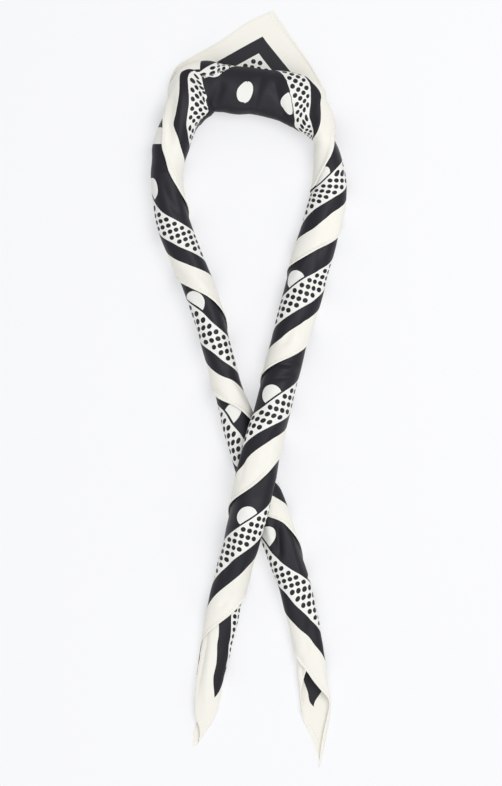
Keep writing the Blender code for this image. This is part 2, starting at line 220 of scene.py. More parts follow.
# Behind the nape the roll is not wound evenly, and two pleats cross it.  Columns of the table:
# place       place along the roll
# hem, black, dotted, line   cloth past the crown where the hem lies and where the black band,
#             the dotted band and the thin line begin
# edge        cloth from the hem at the far side of the dotted band, less where a pleat covers it
# row         the same for the middles of the big dots nearest the crown
# outer, middle, inner   place in the cut on the outer side of the roll, its crown and inner side
NAPE_COLUMNS = ("place", "hem", "black", "dotted", "line", "edge", "row", "outer", "middle", "inner")
LEFT_OF_PLEATS = (
    (-113.5, 1.3, 21.9, 34.4, 56.6, 55.3, -5.0, -113.5, -113.5, -113.5),
    (-106.0, -0.9, 15.8, 28.3, 50.5, 55.3, -3.0, -106.0, -106.0, -106.0),
    (-94.0, -6.1, 6.6, 17.0, 24.0, 48.0, -18.8, -89.0, -94.0, -93.5),
    (-88.0, -8.2, 2.2, 11.1, 17.5, 46.0, -19.8, -84.0, -89.0, -89.0),
    (-83.0, -11.5, -2.9, 7.3, 15.4, 46.0, -17.4, -80.0, -84.5, -82.5),
    (-78.0, -19.5, -4.9, 4.3, 13.2, 46.5, -15.1, -79.0, -81.0, -78.0),
    (-73.0, -27.0, -6.6, 3.0, 13.7, 48.5, -10.2, -78.0, -77.0, -73.5),
    (-68.0, -30.0, -8.8, 1.3, 16.2, 51.0, -3.2, -73.0, -72.5, -69.5),
    (-63.0, -34.5, -13.2, -2.2, 17.9, 53.0, 3.0, -67.0, -68.0, -65.0),
    (-57.0, -38.0, -19.1, -7.8, 17.8, 53.0, 7.5, -61.0, -62.7, -63.5),
    (-51.0, -38.0, -18.0, -13.8, 15.9, 53.0, 8.8, -56.5, -58.5, -62.0),
    (-46.0, -38.0, -15.2, -14.1, 10.4, 54.0, 5.6, -52.5, -55.0, -60.0),
    (-41.0, -37.0, -12.4, -11.6, 8.0, 55.0, 10.0, -48.0, -50.5, -60.0),
)
BETWEEN_PLEATS = (
    (-40.4, -43.0, -22.3, -11.6, -7.0, 38.5, -14.0, -47.0, -46.5, -34.0),
    (-34.0, -53.0, -30.0, -18.0, -7.5, 43.5, -14.0, -41.5, -41.0, -30.0),
    (-28.0, -62.0, -38.0, -26.0, -10.0, 49.0, -14.0, -36.0, -35.5, -25.0),
    (-22.5, -68.0, -47.0, -35.0, -13.0, 55.3, -10.0, -30.5, -27.0, -19.0),
    (-17.0, -75.0, -55.0, -43.0, -20.0, 55.3, -2.0, -25.0, -12.5, -14.0),
    (-14.0, -81.0, -60.5, -48.0, -26.0, 55.3, 1.5, -19.0, -8.5, -12.0),
    (-5.0, -95.0, -75.0, -62.0, -40.0, 55.3, 1.3, -7.0, -0.5, -5.5),
    (4.4, -91.0, -71.0, -58.0, -36.0, 55.3, 1.3, 2.0, 8.6, 4.0),
)
RIGHT_OF_PLEATS = (
    (5.0, -82.0, -62.0, -50.0, -30.0, 55.3, 1.6, 11.5, 18.1, 15.0),
    (14.0, -78.0, -58.0, -46.0, -27.0, 55.3, 1.9, 18.5, 22.0, 22.0),
    (24.0, -65.0, -52.0, -40.0, -17.3, 55.3, 2.4, 26.0, 27.5, 28.0),
    (34.0, -54.0, -44.0, -32.5, -7.1, 55.3, 3.1, 33.5, 34.7, 35.0),
    (43.0, -42.0, -25.0, -22.8, 1.9, 55.3, 3.9, 42.0, 42.0, 41.7),
    (48.0, -36.0, -18.6, -15.2, 9.0, 55.3, 7.2, 49.0, 48.8, 48.2),
    (53.0, -34.0, -15.8, -5.2, 14.9, 55.3, 8.6, 57.0, 57.5, 54.0),
    (59.0, -31.0, -10.2, 3.2, 18.9, 55.3, 6.8, 65.0, 63.5, 60.0),
    (65.0, -27.5, -4.7, 5.4, 20.5, 55.3, 2.5, 71.0, 69.0, 65.0),
    (72.0, -21.0, -0.4, 5.8, 19.0, 55.3, -4.8, 78.0, 75.0, 71.0),
    (79.0, -15.0, 4.6, 7.5, 17.0, 55.3, -12.7, 84.0, 81.0, 77.5),
    (87.0, -7.8, 10.8, 14.0, 24.0, 55.3, -12.5, 90.0, 88.0, 86.0),
    (96.0, -5.4, 12.4, 24.0, 44.0, 55.3, -0.6, 97.0, 96.0, 95.0),
    (104.0, -3.6, 15.8, 28.3, 50.5, 55.3, -1.3, 104.0, 104.0, 104.0),
    (115.0, -0.4, 20.2, 32.7, 54.9, 55.3, -6.4, 115.0, 115.0, 115.0),
)
# Creases, and ridges where the last number is above 0: from a place and the cloth past the crown
# to another, width, depth.  Each has a weaker one against it on the far side of the roll.
CREASES = (
    (-33.8, -9.0, -19.5, -19.0, 2.6, 0.9),
    (-26.0, -4.0, -35.0, 17.0, 3.4, -1.3),
    (7.6, -15.6, 8.5, 18.4, 4.2, -0.9),
    (-16.9, 13.4, 18.3, 14.1, 3.0, 0.6),
    (18.8, -9.0, 45.7, 17.9, 3.0, -1.2),
    (27.0, -14.0, 50.0, 9.0, 2.2, 0.5),
    (-72.5, -19.5, -96.6, -3.2, 2.0, 1.2),
    (-69.0, -16.0, -96.0, 2.5, 3.4, -1.4),
    (-64.0, -10.0, -92.0, 7.5, 2.8, 0.7),
    (-50.0, -9.0, -47.0, 11.0, 2.4, -1.1),
    (-54.0, 4.0, -76.0, 16.0, 2.2, 0.8),
    (54.4, -23.4, 98.5, -5.4, 2.1, 1.1),
    (62.1, -8.4, 119.7, 4.9, 3.6, -1.2),
    (43.3, -16.3, 68.0, 10.9, 3.0, -0.8),
    (50.0, -18.0, 76.0, 6.0, 2.2, 0.6),
    (-118.9, -3.9, -147.0, 5.4, 3.2, -1.0),
    (-109.0, 3.0, -133.0, 11.0, 2.4, 0.6),
    (147.4, -5.5, 191.0, -4.0, 3.0, -0.9),
    (152.7, -13.7, 174.0, -11.8, 2.2, 0.6),
    (183.7, -6.9, 218.3, -9.2, 3.4, -0.8),
    (188.0, 4.0, 207.0, 9.0, 2.2, 0.6),
    (232.6, -6.9, 247.5, -5.4, 2.1, -0.8),
    (238.2, -0.5, 257.3, 3.8, 2.6, -0.9),
    (244.0, -9.0, 262.0, -4.0, 2.0, 0.6),
    (270.4, 4.7, 267.3, -11.3, 1.9, -0.8),
    (274.5, 5.5, 271.5, -9.5, 1.9, 0.6),
    (281.4, 4.7, 276.3, -8.8, 1.9, -0.8),
    (-160.0, -8.0, -186.0, 2.0, 3.0, -0.8),
    (-175.2, -12.8, -230.9, 1.4, 3.2, -0.8),
    (-184.0, -3.0, -207.0, 6.0, 2.2, 0.6),
    (-236.0, -6.0, -262.0, 3.0, 2.8, -0.8),
    (-268.4, -12.4, -283.0, -3.0, 2.4, -0.8),
    (-262.0, 1.0, -287.0, 8.0, 2.2, 0.6),
    (-367.5, 3.8, -391.8, -4.6, 2.6, -2.1),
    (-363.0, -4.0, -381.0, -6.0, 2.4, 0.9),
    (-376.0, 9.2, -408.2, 6.2, 3.0, 0.9),
    (-404.0, -2.0, -432.0, 6.0, 3.0, -0.8),
    (-437.0, 6.0, -468.0, -3.0, 2.8, -0.8),
    (318.0, -7.0, 341.0, -2.0, 2.6, -0.7),
    (338.3, 12.3, 357.2, 10.9, 2.6, -1.0),
    (343.5, -2.3, 368.5, -4.5, 3.0, -0.7),
    (371.0, 4.0, 389.0, -5.0, 2.2, 0.5),
    (398.6, 7.9, 426.7, 3.5, 3.0, -1.0),
    (408.0, -6.0, 436.0, -3.0, 2.4, 0.6),
    (436.3, -4.0, 449.6, 3.8, 2.4, -0.8),
    (465.7, 9.3, 515.6, 7.6, 2.2, -1.0),
    (474.0, 4.4, 534.7, -1.2, 2.4, 0.6),
    (-469.3, -8.5, -503.3, -7.2, 2.2, -0.9),
    (-471.4, 5.1, -502.4, 8.9, 2.6, 0.7),
    (-516.7, -7.1, -547.7, -0.4, 2.0, -0.6),
)
PRINT_LINES = (0.0, 20.6, 33.1, 55.3)   # cloth from the hem to the hem, black, dotted and line
ROW_CLOTH = 97.15                    # and, in the middle of the cut, to that row of big dots
PULLED = 0.92                        # the field behind the nape is pulled tight
# Cloth from the hem of what shows just beside the hem after a full turn: place, length.
ROUND_AGAIN = (
    (-106.0, 84.0), (-99.0, 68.0), (-94.0, 61.8), (-88.0, 61.0), (-83.0, 61.0), (-70.0, 62.0),
    (70.0, 76.0), (106.0, 72.0),
)
ROUND_AGAIN_FROM = 68.0              # it counts this far from the middle of the cloth
ROUND_RUN = 20.0                     # past that turn the cloth runs on evenly, at least so far
# and how far it lies askew there
ROUND_SKEW = (
    (-106.0, 0.0), (-101.0, 2.0), (-95.5, 4.8), (-90.0, 7.4), (-86.0, 9.3), (-80.0, 10.5),
    (-70.0, 0.0),
)
SKEW_BEFORE = 12.0                   # it is fully askew this much cloth before the turn
# On the sides of the loop too the cut lies a little askew: place, shift along the long edge.
LEG_SHIFTS = (
    (-440.0, -2.0), (-415.0, -5.4), (-376.0, -2.5), (-291.0, -2.6), (-264.0, 0.5), (-225.0, 0.5),
    (-206.0, -1.8), (-174.0, -4.2), (-150.0, -0.8), (-140.0, 0.4), (-124.0, -1.2), (-112.0, 0.0),
    (112.0, 0.0), (129.0, -6.0), (150.0, 0.0), (208.0, 2.3), (293.0, 0.8), (379.0, -0.7),
    (440.0, 0.0),
)
# The left pleat bows to the left: how far, where and over what length of the roll.
BOW = -2.9
BOW_PLACE = -43.0
BOW_REACH = 8.0

# ---- the open corner, flat on the surface -----------------------------------------------
TIP = (18.3, 275.7)
TIP_LEAN = math.radians(13.1)
# Directions from its tip: down the middle of the cut, towards the roll, and along the cut's edge.
TIP_DOWN = np.array([-math.sin(TIP_LEAN), -math.cos(TIP_LEAN)])
TIP_ALONG = np.array([math.cos(TIP_LEAN), -math.sin(TIP_LEAN)])
FLAP_HEIGHT = 0.4                    # how high its cloth lies
FLAP_OVERLAP = 3.0                   # how far its flat part runs in under the roll's widest point
FLAP_BEND = 12.0                     # length that its rise counts for as the points are dealt out
OPEN_CLOTH = 0.15                    # it ends where there is less cloth than this in a row
CURVE_PULL = 0.45                    # how far the ends of that rise keep their direction
RISE_FROM = 1.5                      # cloth of the roll that gives the upper end its direction
HEM_BULGE = 2.5                      # left of its tip the hem bows out by this much,
BULGE_ACROSS = (-14.0, 13.0)         # about this place in the cut and over this length,
BULGE_DEPTH = 7.0                    # and the cloth beside it this deep
# Beyond the last of its straight run the hem goes down beside the roll.
FREE_HEM = {"left": -55.0, "right": 47.0}
FREE_TURN = 12.0
FREE_ROUNDING = 2.0
# How far outside the roll it lies there: place, length.
BESIDE = (
    (-82.0, -2.0), (-76.0, 0.0), (-70.0, 3.0), (-60.0, 4.0), (-50.0, 3.0), (0.0, 0.0), (45.0, 0.0),
    (60.0, 0.8), (72.0, -2.0),
)
# The open corner climbs the roll farther at the shoulders: place, share of the outer side.
RAMP = (
    (-78.0, 0.0), (-66.0, 0.3), (-54.0, 0.5), (-44.0, 0.3), (-32.0, 0.0),
    (30.0, 0.0), (40.0, 0.3), (50.0, 0.5), (60.0, 0.4), (72.0, 0.0),
)
RAMP_CLEAR = 3.0                     # it ends at least this much cloth before the black band
# and how deep the layer under it lies there
UNDER_RAMP = (
    (-80.0, 0.0), (-75.0, 1.7), (-40.0, 1.7), (-34.0, 0.0), (32.0, 0.0), (38.0, 1.7),
    (66.0, 1.7), (72.0, 0.0),
)
# How much cloth before the full turn the layer goes down: under the hem, and under the ramp.
DOWN_AT_HEM = (16.0, 2.0)
DOWN_AT_RAMP = (34.0, 18.0)
# Where the print lies askew on it: place in the cut, shift along the long edge.
PRINT_SHIFTS = ((-60.0, 2.0), (-30.0, 3.9), (0.0, 3.9), (25.0, 0.5), (45.0, 0.0))
PRINT_DROP = 0.9                     # and how far it lies in from the hem

# ---- the pieces: a solid's name, and the places where its stretch of the roll begins and ends
STRETCHES = (
    ("right_tail", -554.0, -384.0),
    ("cross_under", -384.0, -292.0),
    ("left_leg", -292.0, -112.0),
    ("left_shoulder", -112.0, -46.0),
    ("neck_back", -46.0, 42.0),
    ("right_shoulder", 42.0, 112.0),
    ("right_leg", 112.0, 285.0),
    ("cross_over", 285.0, 394.0),
    ("left_tail", 394.0, 554.0),
)
UPPER_STRAND = ("right_leg", "cross_over", "left_tail")

# ---- the cloth's look, and the stage ----------------------------------------------------
CREAM = (0.87, 0.85, 0.775, 1.0)
WHITE = (0.845, 0.84, 0.80, 1.0)
BLACK = (0.0125, 0.011, 0.0165, 1.0)
THREAD = (0.70, 0.67, 0.58, 1.0)
STITCH_STEP = 2.4                    # the hem's stitches: step, how much of it shows thread, and
STITCH_SHARE = 0.62                  # between what distances from the edge they lie
SEAM_FIRST = 1.9
SEAM_LAST = 2.4
THREAD_SHARE = 0.5                   # how far the thread covers the print
HEM_RAISED = 0.5                     # how much higher the hem stands in the bump
WEAVE = (90.0, 260.0, 1.0)           # grains of the weave in a metre, along the edge and across it

FLOOR_SIDE = 3.0                     # metres from here on
FLOOR_DROP = 0.0003
VIEW_LONG = 0.57378                  # the longer side of what the camera sees on the surface
VIEW_MIDDLE = (0.00146, -0.00274)
CAMERA_HEIGHT = 3.2
SENSOR = 36.0                        # millimetres
LAMPS = (("key", (0.65, 0.4, 1.5), 1.0, 11.0), ("fill", (-0.2, -0.95, 1.5), 1.8, 8.5))


def column(name):
    """One column of STATIONS as an array."""
    index = COLUMNS.index(name)
    return np.array([row[index] for row in STATIONS])


def smooth_through(knots, values, at):
    """Cubic Hermite curve through (knots, values), its slopes taken from the neighbours."""
    knots = np.asarray(knots, float)
    values = np.asarray(values, float)
    steps = np.diff(knots)
    secants = np.diff(values) / steps
    slopes = np.empty_like(values)
    slopes[0] = secants[0]
    slopes[-1] = secants[-1]
    slopes[1:-1] = (secants[:-1] * steps[1:] + secants[1:] * steps[:-1]) / (steps[:-1] + steps[1:])
    at = np.clip(at, knots[0], knots[-1])
    i = np.clip(np.searchsorted(knots, at) - 1, 0, len(steps) - 1)
    t = (at - knots[i]) / steps[i]
    return ((2 * t**3 - 3 * t**2 + 1) * values[i] + (t**3 - 2 * t**2 + t) * steps[i] * slopes[i]
            + (3 * t**2 - 2 * t**3) * values[i + 1] + (t**3 - t**2) * steps[i] * slopes[i + 1])


def smooth_step(value, low, high):
    """0 at or below low, 1 at or above high, with a soft change between."""
    t = np.clip((value - low) / (high - low), 0.0, 1.0)
    return t * t * (3.0 - 2.0 * t)


def table_at(table, place):
    """Second value of a table's rows at a place, straight between the rows."""
    return np.interp(place, *zip(*table))


def centre(place):
    """Middle of the roll, seen from above."""
    places = column("place")
    return np.stack([smooth_through(places, column("x"), place),
                     smooth_through(places, column("y"), place)], axis=-1)


def outward(place):
    """Unit vector along a row from the roll's middle to its outer side, seen from above."""
    reach = 1.5
    ahead = centre(place + reach) - centre(place - reach)
    angle = np.arctan2(ahead[..., 1], ahead[..., 0]) + math.pi / 2
    angle = angle - np.radians(smooth_through(column("place"), column("lean"), place))
    return np.stack([np.cos(angle), np.sin(angle)], axis=-1)


def half_width(place):
    """Half the roll's width, seen from above."""
    return smooth_through(column("place"), column("half_width"), place)


def height(place):
    """The roll's thickness above the surface."""
    return smooth_through(column("place"), column("height"), place)


def cloth_height(place):
    """Cloth from the hem to the long edge at a place."""
    return EDGE_RISE * (HALF_EDGE - np.abs(place))


def girth(place):
    """Cloth in one turn of the roll."""
    right = smooth_through(*zip(*GIRTH_RIGHT), np.abs(place))
    left = smooth_through(*zip(*GIRTH_LEFT), np.abs(place))
    return np.where(place > 0, right, left)


def hem_arc(place):
    """Cloth from the crown to the hem, counted on through every turn, outside the nape."""
    sides = []
    for table, side in ((HEM_RIGHT, 1.0), (HEM_LEFT, -1.0)):
        knots = [row[0] for row in table]
        turns = [row[1] + row[2] / float(girth(side * row[0])) for row in table]
        sides.append(smooth_through(knots, turns, np.abs(place)))
    return np.where(place > 0, *sides) * girth(place)


# The crown's arc length per unit of half width, by the angle from the crown.
ARC_ANGLES = np.linspace(0.0, math.pi / 2, 91)
ARC_LENGTHS = np.concatenate([[0.0], np.cumsum(np.hypot(
    np.diff(np.sin(ARC_ANGLES)), ASPECT * np.diff(np.cos(ARC_ANGLES))))])
QUARTER = float(ARC_LENGTHS[-1])


def angle_round(place, arc):
    """Angle round the roll, from the crown towards the inner side, of cloth past the crown."""
    turn = girth(place)
    quarter = QUARTER * half_width(place)
    wrapped = (arc / turn + 0.5) % 1.0 * turn - 0.5 * turn
    size = np.abs(wrapped)
    above = np.interp(size / half_width(place), ARC_LENGTHS, ARC_ANGLES)
    spare = np.maximum(0.5 * turn - quarter, 1.0)
    below = math.pi / 2 * (1.0 + np.clip((size - quarter) / spare, 0.0, 1.0))
    return np.sign(wrapped) * np.where(size < quarter, above, below)


def nape(name, place):
    """One column of the three nape tables, at any place between the outermost two."""
    left, right = ((low + high) / 2 for low, high in PLEATS)
    found = np.zeros_like(place)
    for table, here in ((LEFT_OF_PLEATS, place <= left),
                        (BETWEEN_PLEATS, (place > left) & (place < right)),
                        (RIGHT_OF_PLEATS, place >= right)):
        places, values = zip(*((row[0], row[NAPE_COLUMNS.index(name)]) for row in table))
        found = np.where(here, smooth_through(places, values, place), found)
    return found


def in_nape(place):
    """Whether the nape tables give the cloth at a place."""
    return (place > LEFT_OF_PLEATS[0][0]) & (place < RIGHT_OF_PLEATS[-1][0])


def hem_past_crown(place):
    """Cloth past the crown at which the hem lies, also where the table gives it."""
    return np.where(in_nape(place), nape("hem", place), hem_arc(place))


def across_nape(here, arc):
    """Place in the cut round one row of the nape, from its outer side over the crown."""
    round_it = np.clip(arc / (QUARTER * half_width(here)), -1.0, 1.0)
    return (nape("outer", here) * round_it * (round_it - 1) / 2
            + nape("middle", here) * (1 - round_it**2)
            + nape("inner", here) * round_it * (round_it + 1) / 2)


def cut_at(place, arc):
    """Place in the cut and cloth from the hem, for rows of points at one place each."""
    across = np.broadcast_to(place + table_at(LEG_SHIFTS, place), arc.shape).copy()
    cloth = arc - hem_arc(place)
    for i in np.flatnonzero(in_nape(place[:, 0])):
        here = place[i]
        across[i] = across_nape(here, arc[i])
        lines = [float(nape(name, here)[0]) for name in ("hem", "black", "dotted", "line")]
        border = np.interp(arc[i], lines, PRINT_LINES[:3] + (float(nape("edge", here)[0]),))
        field = ROW_CLOTH - EDGE_RISE * np.abs(across[i]) + PULLED * (arc[i] - nape("row", here))
        field = np.maximum(PRINT_LINES[3], field)
        if abs(here[0]) > ROUND_AGAIN_FROM:
            again = float(table_at(ROUND_AGAIN, here[0]))
            turn = float(girth(here)[0]) + lines[0]
            side = QUARTER * float(half_width(here)[0])
            at_side = float(np.interp(side, arc[i], field))
            round_it = np.interp(arc[i], (side, turn, turn + ROUND_RUN),
                                 (at_side, again, again + ROUND_RUN))
            field = np.where(arc[i] > side, round_it, field)
            skew = float(table_at(ROUND_SKEW, here[0]))
            across[i] = across[i] + skew * smooth_step(arc[i], side, turn - SKEW_BEFORE)
        cloth[i] = np.where(arc[i] < lines[3], border, field)
    return across, cloth


def under_strand_top(x, y):
    """Height that the upper strand's underside keeps to clear the lower strand at x, y."""
    gaps = np.hypot(x[..., None] - UNDER_AXIS[:, 0], y[..., None] - UNDER_AXIS[:, 1])
    nearest = np.argmin(gaps, axis=-1)
    place = UNDER_PLACES[nearest]
    gap = np.take_along_axis(gaps, nearest[..., None], axis=-1)[..., 0]
    aside = gap / (half_width(place) + LEDGE)
    return (height(place) + LEDGE + CROSS_CLEAR) * (1.0 - smooth_step(aside, *CROSS_SIDES))


def crossing_point():
    """Where the two strands cross, seen from above."""
    under, over = (centre(np.linspace(first, last, int(last - first) + 1))
                   for name, first, last in STRETCHES if name.startswith("cross_"))
    gaps = np.linalg.norm(under[:, None] - over[None], axis=-1)
    i, j = np.unravel_index(np.argmin(gaps), gaps.shape)
    return (under[i] + over[j]) / 2.0


CROSSING = crossing_point()
UNDER_PLACES = np.linspace(*UNDER_REACH, int(UNDER_REACH[1] - UNDER_REACH[0]) + 1)
UNDER_AXIS = centre(UNDER_PLACES)


def on_roll(place, arc, out, lifted):
    """Point of the roll at a place, cloth past the crown and distance off the inner layer."""
    angle = angle_round(place, arc)
    wide = half_width(place)
    tall = height(place)
    aside = -wide * np.sin(angle)
    rise = tall * ((1 + FLAT_SHARE) * (1 + np.cos(angle)) / 2 - FLAT_SHARE)
    normal_n = -np.sin(angle) * tall
    normal_z = np.cos(angle) * wide
    size = np.hypot(normal_n, normal_z)
    aside = aside + out * normal_n / size
    rise = np.maximum(0.0, rise + out * normal_z / size)
    middle = centre(place)
    side = outward(place)
    bow = BOW * np.exp(-((place - BOW_PLACE) / BOW_REACH) ** 2)
    bow = bow * (1.0 - np.minimum(1.0, (aside / wide) ** 2))
    x = middle[..., 0] + side[..., 0] * aside + side[..., 1] * bow
    y = middle[..., 1] + side[..., 1] * aside - side[..., 0] * bow
    share_up = np.minimum(1.0, rise / tall)
    floor = FLAP_LIFT * (1.0 - smooth_step(np.abs(place), *FLAP_REACH))
    top = floor
    if lifted:
        away = np.hypot(middle[..., 0] - CROSSING[0], middle[..., 1] - CROSSING[1])
        top = CROSS_LIFT * (1.0 - smooth_step(away, *CROSS_REACH))
        floor = under_strand_top(x, y)
    z = rise + (1.0 - share_up) * floor + share_up * top
    return np.stack([x, y, z], axis=-1)


def wall_start(place):
    """Cloth past the crown, negative, at which the roll meets the open corner."""
    climb = table_at(RAMP, place)
    full = -(QUARTER * half_width(place) + WALL_FOOT)
    ramped = np.minimum(full * (1.0 - climb), nape("black", place) - RAMP_CLEAR)
    return np.where(climb > 0, np.maximum(full, ramped), full)


def corner_cloth(place):
    """Cloth from the hem to the roll across the open corner, none beyond the shoulders."""
    wall = wall_start(place)
    return np.where(hem_past_crown(place) < wall, cut_at(place, wall)[1], 0.0)


def rows_between(first, last):
    """Places of the rows of one stretch, with one row on either side of a pleat."""
    axis = centre(np.linspace(first, last, 400))
    long = np.hypot(*np.diff(axis, axis=0).T).sum()
    count = max(8, int(math.ceil(long / ROW_STEP)))
    places = list(np.linspace(first, last, count + 1))
    for low, high in PLEATS:
        if first < low and high < last:
            places = [p for p in places if not low - PLEAT_CLEAR < p < high + PLEAT_CLEAR]
            places += [low, high]
    return np.array(sorted(places))


def creases(place, arc):
    """How far the cloth lies off its roll in the creases and at the soft folds between them."""
    turn = girth(place)
    found = 0.0 * (place + arc)
    for from_place, from_arc, to_place, to_arc, width, depth in CREASES:
        way = np.array([to_place - from_place, to_arc - from_arc])
        long = float(np.hypot(*way))
        way = way / long
        along_place = place - from_place
        for shift, share in ((0.0, 1.0), (0.5, CREASE_AGAINST)):
            off = (arc - from_arc - shift * turn + 0.5 * turn) % turn - 0.5 * turn
            run = (along_place * way[0] + off * way[1]) / long
            aside = off * way[0] - along_place * way[1]
            fade = smooth_step(run, -0.12, 0.25) * (1.0 - smooth_step(run, 0.75, 1.12))
            found = found + share * depth * fade * np.exp(-(aside / width) ** 2)
    uneven = np.sin(place / 9.7 + 1.3) * np.sin(arc / 6.3 + place / 31.0)
    uneven = uneven + np.sin(place / 5.1 - arc / 8.9)
    return CREASE_SHARE * found + UNEVEN * uneven


def hem_fold(cloth):
    """Height of the narrow rolled hem over the cloth beside it."""
    return FOLD_HEIGHT * np.exp(-((cloth - FOLD_MIDDLE) / FOLD_WIDTH) ** 2)


def off_roll(place, arc, start, cloth):
    """How far the cloth of each row lies off the inner layer, the rolled hem and creases too."""
    turn = girth(place)
    along = arc - start
    nape_row = in_nape(place)
    tail = smooth_step(np.abs(place), *TAIL_FROM)
    to_tip = HALF_EDGE - np.abs(place)
    ledge = LEDGE * smooth_step(np.abs(place), *LEDGE_FROM) * (1.0 - LEDGE_LOSS * tail)
    out = ledge * (1.0 - along / turn)
    first, last = DOWN_AT_HEM
    out = out - np.where(nape_row, LEDGE * smooth_step(along, turn - first, turn - last), 0.0)
    first, last = DOWN_AT_RAMP
    out = out - table_at(UNDER_RAMP, place) * smooth_step(along, turn - first, turn - last)
    fold = hem_fold(cloth) + np.where(nape_row, 0.0, hem_fold(cloth_height(place) - cloth))
    out = out + fold * (1.0 - FOLD_LOSS * tail)
    out = out * np.clip(to_tip / TAIL_END, LEAST, 1.0)
    soft = smooth_step(along, 0.0, SOFT_HEM) * np.clip(to_tip / SOFT_TIP, LEAST, 1.0)
    return out + soft * creases(place, arc)


def roll_grid(first, last, lifted):
    """Rows of points of one stretch of the roll, with their places in the cut."""
    place = rows_between(first, last)[:, None]
    turn = girth(place)
    start = hem_past_crown(place)
    nape_row = in_nape(place)
    start = np.where(nape_row, np.maximum(start, wall_start(place)), start)
    end = np.where(nape_row, turn + TUCK, np.minimum(turn + TUCK, cloth_height(place)))
    near = np.array(HEM_POINTS)
    share = np.linspace(0.0, 1.0, ROLL_POINTS - len(near) + 1)[None, 1:]
    squeeze = np.minimum(1.0, end / SQUEEZE_BELOW)
    last_near = near[-1] * squeeze
    along = np.concatenate([near[None] * squeeze, last_near + (end - last_near) * share], axis=1)
    arc = start + along
    across, cloth = cut_at(place, arc)
    out = off_roll(place, arc, start, cloth)
    points = on_roll(np.broadcast_to(place, along.shape), arc, out, lifted)
    return points, across, cloth


def lay_flat(across, cloth):
    """Point of the open corner for a place in the cut and cloth from the hem."""
    run = EDGE_RISE * np.abs(across) + cloth
    x = TIP[0] + TIP_DOWN[0] * run + TIP_ALONG[0] * across
    y = TIP[1] + TIP_DOWN[1] * run + TIP_ALONG[1] * across
    return np.stack([x, y], axis=-1)


def flap_lines(place):
    """Hem of the open corner and the foot of its rise to the roll, both seen from above.

    Also each row's place in the cut, measured from the tip, and how free its hem lies, 0 to 1.
    """
    side = outward(place)
    widest = centre(place) + side * half_width(place)[..., None]
    across = ((widest - np.array(TIP)) * TIP_ALONG).sum(-1)
    flat = np.maximum(0.0, ((widest - np.array(TIP)) * TIP_DOWN).sum(-1)
                      - EDGE_RISE * np.abs(across) + FLAP_OVERLAP)
    left, right = FREE_HEM["left"], FREE_HEM["right"]
    free = 1.0 - smooth_step(place, right - FREE_ROUNDING, right + FREE_TURN)
    free = free * smooth_step(place, left - FREE_TURN, left + FREE_ROUNDING)
    beside = widest + side * table_at(BESIDE, place)[..., None]
    hem, foot = (lay_flat(across, run) * free[..., None] + beside * (1.0 - free[..., None])
                 for run in (0.0 * across, flat))
    return hem, foot, across, free


def flap_rise(place, wall, foot, t):
    """Curve from the foot up to where the open corner meets the roll, for t from 0 to 1."""
    border = on_roll(place, wall, 0.0 * place, False)
    inner = on_roll(place, wall + RISE_FROM, 0.0 * place, False)
    rise_way = (inner - border) / np.linalg.norm(inner - border, axis=-1, keepdims=True)
    span = np.linalg.norm(border - foot, axis=-1, keepdims=True)
    p1 = foot + np.append(TIP_DOWN, 0.0) * span * CURVE_PULL
    p2 = border - rise_way * span * CURVE_PULL
    t = t[..., None]
    return ((1 - t) ** 3 * foot + 3 * t * (1 - t) ** 2 * p1 + 3 * t**2 * (1 - t) * p2
            + t**3 * border)


def flap_grid():
    """Rows of points of the open corner, from its hem to the wall of the roll."""
    edge = np.linspace(-100.0, 100.0, 801)[:, None]
    open_places = edge[corner_cloth(edge) > OPEN_CLOTH]
    place = rows_between(float(open_places[0]), float(open_places[-1]))[:, None]
    wall = wall_start(place)
    across_wall, cloth_wall = cut_at(place, wall)
    hem, foot, across_flat, free = flap_lines(place)
    flat = np.linalg.norm(foot - hem, axis=-1)
    level = np.full_like(place[..., None], FLAP_HEIGHT)
    hem, foot = (np.concatenate([line, level], axis=-1) for line in (hem, foot))

    share = np.linspace(0.0, 1.0, FLAP_POINTS)[None]
    flat_share = np.clip(flat / (flat + FLAP_BEND), 0.0, 0.8)
    on_flat = share <= flat_share
    near = np.minimum(1.0, share / np.maximum(flat_share, 1e-3))
    t = np.clip((share - flat_share) / (1.0 - flat_share), 0.0, 1.0)
    points = np.where(on_flat[..., None], hem + (foot - hem) * near[..., None],
                      flap_rise(place, wall, foot, t))

    across_print = across_flat + table_at(PRINT_SHIFTS, across_flat)
    hem_print = EDGE_RISE * (np.abs(across_flat) - np.abs(across_print)) + PRINT_DROP
    hem_print = hem_print * free
    across_print = across_print * free + across_wall * (1.0 - free)
    across = across_print + (across_wall - across_print) * smooth_step(t, 0.3, 1.0)
    foot_print = np.minimum(hem_print + flat, cloth_wall)
    cloth = np.where(on_flat, hem_print + (foot_print - hem_print) * near,
                     foot_print + (cloth_wall - foot_print) * t)

    points[..., 2] += hem_fold(flat * near) * on_flat
    at, reach = BULGE_ACROSS
    bulge = HEM_BULGE * np.exp(-((across_flat - at) / reach) ** 2)
    bulge = bulge * np.exp(-flat * near / BULGE_DEPTH) * EDGE_COS * on_flat
    points[..., :2] -= bulge[..., None] * (TIP_DOWN + EDGE_RISE * TIP_ALONG)
    return points, across, cloth


